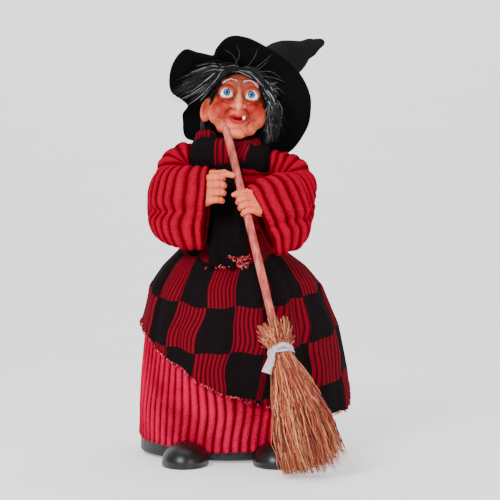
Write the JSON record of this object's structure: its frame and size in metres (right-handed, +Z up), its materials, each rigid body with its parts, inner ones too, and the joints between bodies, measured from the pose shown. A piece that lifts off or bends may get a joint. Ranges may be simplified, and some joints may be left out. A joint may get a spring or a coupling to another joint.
{
  "type": "animated witch figure",
  "caption": "Standing witch doll in a red corded dress, knitted shawl and floppy pointed hat, holding a twig broom; turns at the waist on a round battery base.",
  "frame": {"origin": "on the floor under the waist's turning axis, on the base's middle foot", "axes": "+Z up; the figure faces -Y; +X is the figure's own left, the hand that grips the broom"},
  "size_m": [0.1764, 0.237, 0.3535],
  "materials": {
    "base_drum": "satin black",
    "base_plate": "satin black",
    "rubber_feet": "matt",
    "base_screws": "zinc plated",
    "shoe_right": "glossy black",
    "shoe_left": "glossy black",
    "batteries": "plain sleeve",
    "battery_contacts": "zinc plated",
    "battery_door": "satin black",
    "door_screw": "zinc plated",
    "speaker_basket": "satin",
    "speaker_cone": "matt",
    "speaker_magnet": "satin",
    "circuit_board": "solder mask",
    "board_components": "matt",
    "switch_case": "satin",
    "switch_knob": "satin black",
    "mast": "natural",
    "gear_case": "natural",
    "gear_case_lid": "natural",
    "gear_axles": "zinc plated",
    "motor": "satin",
    "motor_pinion": "machined",
    "first_wheel": "natural acetal",
    "second_wheel": "natural acetal",
    "turn_shaft": "zinc plated",
    "sector_gear": "natural acetal",
    "centre_rod": "zinc plated",
    "sun_gear": "natural acetal",
    "planet_gear": "natural acetal",
    "head_gear": "natural acetal",
    "neck_tube": "natural",
    "waist_flange": "satin",
    "torso_frame": "natural",
    "torso_front": "satin",
    "torso_back": "satin",
    "torso_screws": "zinc plated",
    "arm_wire_right": "zinc plated",
    "arm_wire_left": "zinc plated",
    "hand_right": "soft painted vinyl",
    "hand_left": "soft painted vinyl",
    "bodice": "wide-wale chenille cord",
    "sleeve_right": "wide-wale chenille cord",
    "sleeve_left": "wide-wale chenille cord",
    "skirt_form": "natural",
    "skirt": "wide-wale chenille cord",
    "shawl": "black and red chequered knit",
    "scarf_wrap": "black and red chequered knit",
    "scarf_end": "black knit",
    "face_shell": "soft painted vinyl",
    "head_back": "soft painted vinyl",
    "eye_right": "clear gloss",
    "eye_left": "clear gloss",
    "eye_lights": "clear lamp",
    "wig": "synthetic hair, black with grey",
    "hat_crown": "black velvet",
    "hat_brim": "black velvet",
    "broom_stick": "plain round stick",
    "broom_bristles": "tied twigs",
    "broom_ribbon": "satin ribbon"
  },
  "bodies": {
    "base": {"base_drum": "base_drum", "base_plate": "base_plate", "rubber_feet": "rubber_feet", "base_screws": "base_screws", "shoe_right": "shoe_right", "shoe_left": "shoe_left", "batteries": "batteries", "battery_contacts": "battery_contacts", "speaker_basket": "speaker_basket", "speaker_cone": "speaker_cone", "speaker_magnet": "speaker_magnet", "circuit_board": "circuit_board", "board_components": "board_components", "switch_case": "switch_case", "mast": "mast", "gear_case": "gear_case", "gear_case_lid": "gear_case_lid", "gear_axles": "gear_axles", "motor": "motor", "centre_rod": "centre_rod", "sun_gear": "sun_gear", "skirt_form": "skirt_form", "skirt": "skirt"},
    "battery_hatch": {"battery_door": "battery_door", "door_screw": "door_screw"},
    "switch": {"switch_knob": "switch_knob"},
    "pinion": {"motor_pinion": "motor_pinion"},
    "wheel_one": {"first_wheel": "first_wheel"},
    "wheel_two": {"second_wheel": "second_wheel"},
    "torso": {"turn_shaft": "turn_shaft", "sector_gear": "sector_gear", "waist_flange": "waist_flange", "torso_frame": "torso_frame", "torso_front": "torso_front", "torso_back": "torso_back", "torso_screws": "torso_screws", "arm_wire_right": "arm_wire_right", "arm_wire_left": "arm_wire_left", "hand_right": "hand_right", "hand_left": "hand_left", "bodice": "bodice", "sleeve_right": "sleeve_right", "sleeve_left": "sleeve_left", "shawl": "shawl", "scarf_wrap": "scarf_wrap", "scarf_end": "scarf_end", "broom_stick": "broom_stick", "broom_bristles": "broom_bristles", "broom_ribbon": "broom_ribbon"},
    "planet": {"planet_gear": "planet_gear"},
    "head": {"head_gear": "head_gear", "neck_tube": "neck_tube", "face_shell": "face_shell", "head_back": "head_back", "eye_right": "eye_right", "eye_left": "eye_left", "eye_lights": "eye_lights", "wig": "wig", "hat_crown": "hat_crown", "hat_brim": "hat_brim"}
  },
  "joints": [
    {"name": "torso_turn", "type": "hinge", "parent": "base", "child": "torso", "pos_m": [0, 0, 0.123], "axis": [0, 0, 1], "range_deg": [-12, 12]},
    {"name": "wheel_two_spin", "type": "hinge", "parent": "base", "child": "wheel_two", "pos_m": [0, 0.021, 0.128], "axis": [0, 0, 1], "range_deg": [-75, 75]},
    {"name": "wheel_one_spin", "type": "hinge", "parent": "base", "child": "wheel_one", "pos_m": [0.015, 0.021, 0.132], "axis": [0, 0, 1], "continuous": true},
    {"name": "pinion_spin", "type": "hinge", "parent": "base", "child": "pinion", "pos_m": [0.015, 0.006, 0.132], "axis": [0, 0, 1], "continuous": true},
    {"name": "planet_spin", "type": "hinge", "parent": "torso", "child": "planet", "pos_m": [0, -0.0105, 0.23], "axis": [0, 0, 1], "range_deg": [-31, 31]},
    {"name": "head_turn", "type": "hinge", "parent": "torso", "child": "head", "pos_m": [0, 0, 0.2335], "axis": [0, 0, 1], "range_deg": [-28, 28]},
    {"name": "hatch_slide", "type": "slide", "parent": "base", "child": "battery_hatch", "axis": [0, 0, -1], "range_m": [0, 0.03]},
    {"name": "switch_slide", "type": "slide", "parent": "base", "child": "switch", "axis": [0, 1, 0], "range_m": [0, 0.006]}
  ],
  "couplings": [
    {"joint": "wheel_two_spin", "follows": "torso_turn", "ratio": -6},
    {"joint": "wheel_one_spin", "follows": "torso_turn", "ratio": 24},
    {"joint": "pinion_spin", "follows": "torso_turn", "ratio": -96},
    {"joint": "planet_spin", "follows": "torso_turn", "ratio": 2.5},
    {"joint": "head_turn", "follows": "torso_turn", "ratio": -2.2727}
  ]
}
